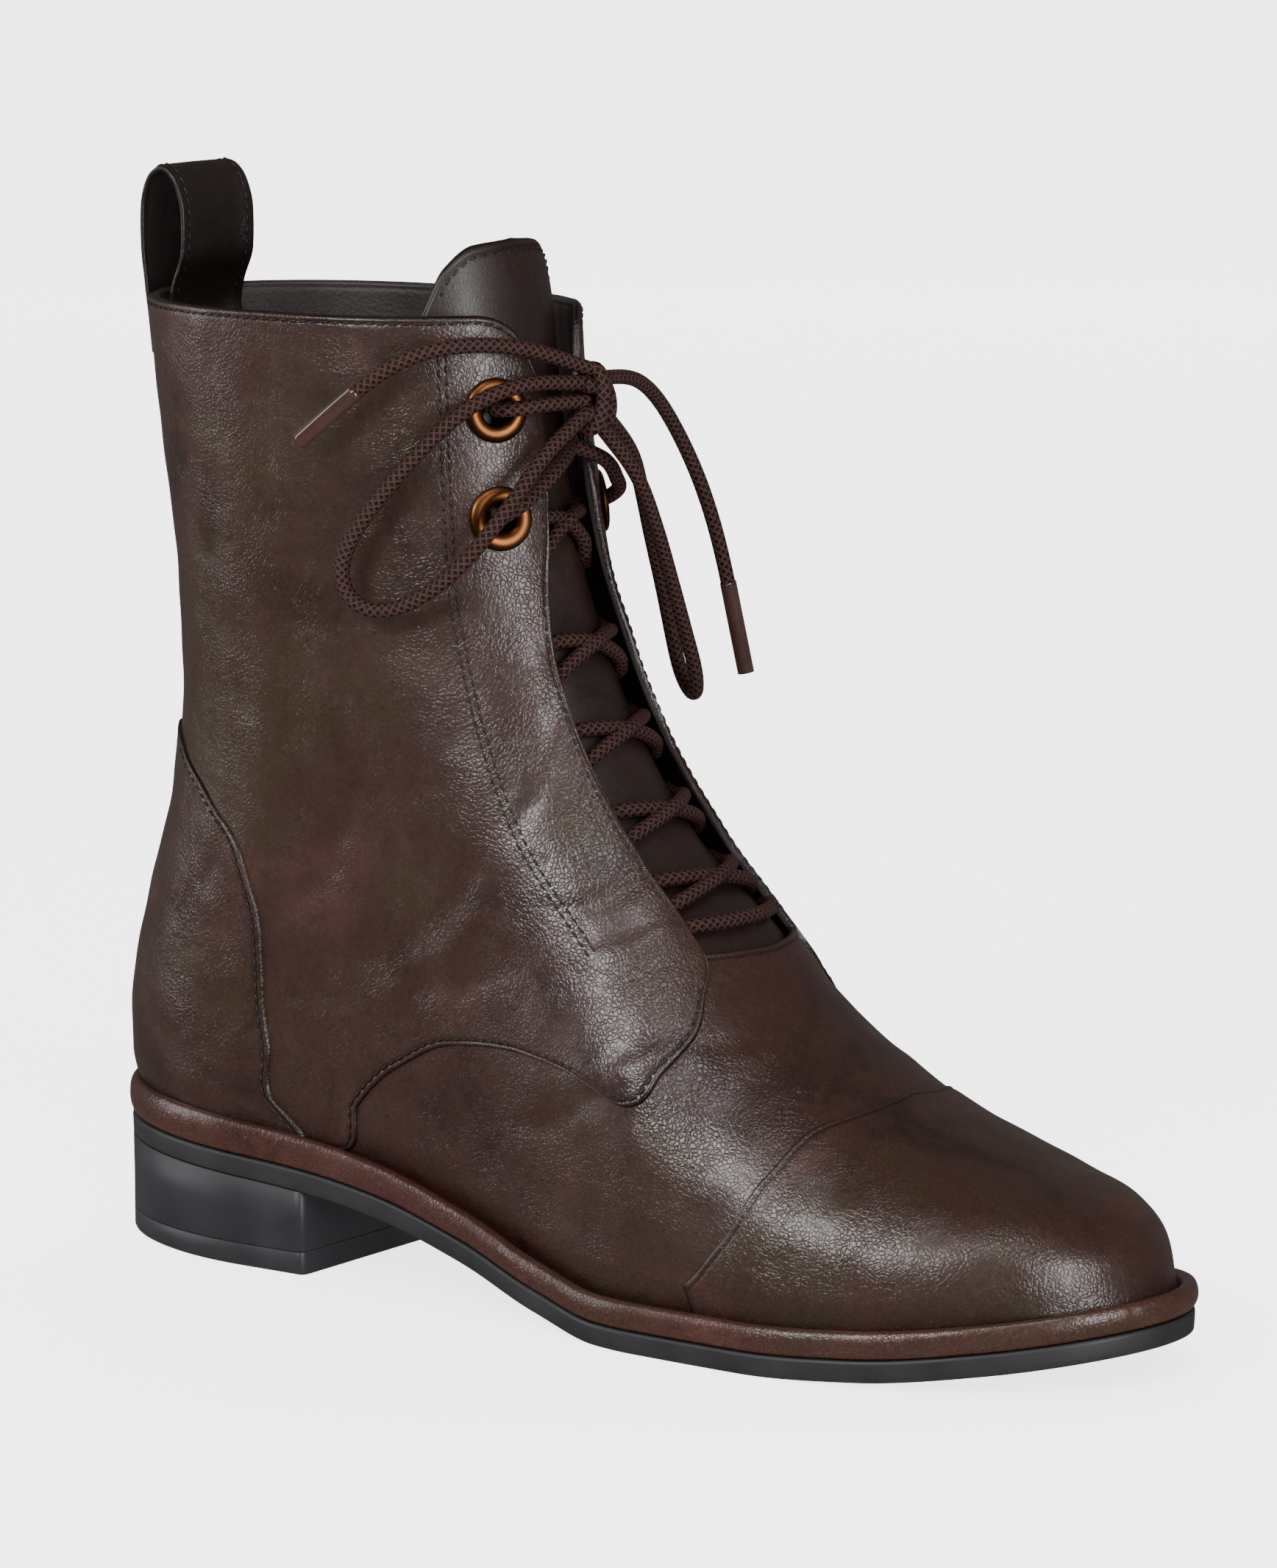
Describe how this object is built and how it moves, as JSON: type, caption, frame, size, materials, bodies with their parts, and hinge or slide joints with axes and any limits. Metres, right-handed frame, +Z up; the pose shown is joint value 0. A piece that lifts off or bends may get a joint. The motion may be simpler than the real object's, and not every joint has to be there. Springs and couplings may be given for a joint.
{
  "type": "lace up ankle boot",
  "caption": "Dark brown leather lace-up ankle boot with a low block heel, toe cap, copper eyelets, heel pull loop and a side zip; right foot.",
  "frame": {"origin": "middle of the boot's length and width, on the floor under the sole", "axes": "+X from the heel to the toe, +Z up, -Y to the outer side of the right foot"},
  "size_m": [0.264, 0.1016, 0.232],
  "materials": {
    "brown_leather": "burnished semi-gloss dark brown",
    "tongue_leather": "smooth, less glossy",
    "rand_leather": "wrinkled semi-gloss brown edge",
    "black_rubber": "matt near-black",
    "lining": "matt dark",
    "copper": "worn copper plating",
    "lace_cord": "waxed round braid",
    "clear_tip": "clear brown film",
    "zip_tape": "matt woven",
    "gunmetal": "dark satin"
  },
  "bodies": {
    "boot": {"upper": "brown_leather", "tongue": "tongue_leather", "midsole": "rand_leather", "outsole": "black_rubber", "heel_block": "black_rubber", "heel_lift": "black_rubber", "insole": "lining", "pull_loop": "brown_leather", "eyelet_outer_1": "copper", "eyelet_outer_2": "copper", "eyelet_inner_1": "copper", "eyelet_inner_2": "copper", "lace_crossing_1": "lace_cord", "lace_crossing_2": "lace_cord", "lace_crossing_3": "lace_cord", "lace_crossing_4": "lace_cord", "lace_crossing_5": "lace_cord", "lace_crossing_top": "lace_cord", "lace_bar": "lace_cord", "lace_knot": "lace_cord", "lace_top_outer": "lace_cord", "lace_top_inner": "lace_cord", "lace_loop_outer": "lace_cord", "lace_loop_inner": "lace_cord", "lace_end_outer": "lace_cord", "lace_end_inner": "lace_cord", "aglet_outer": "clear_tip", "aglet_inner": "clear_tip", "zip_tape": "zip_tape", "zip_coil": "zip_tape", "zip_slider": "gunmetal"},
    "zip_pull": {"zip_pull": "gunmetal"}
  },
  "joints": [
    {"name": "zip_pull_hinge", "type": "hinge", "parent": "boot", "child": "zip_pull", "pos_m": [-0.07029, 0.04164, 0.19753], "axis": [0.994, -0.009, 0.1088], "range_deg": [0, 150]}
  ]
}
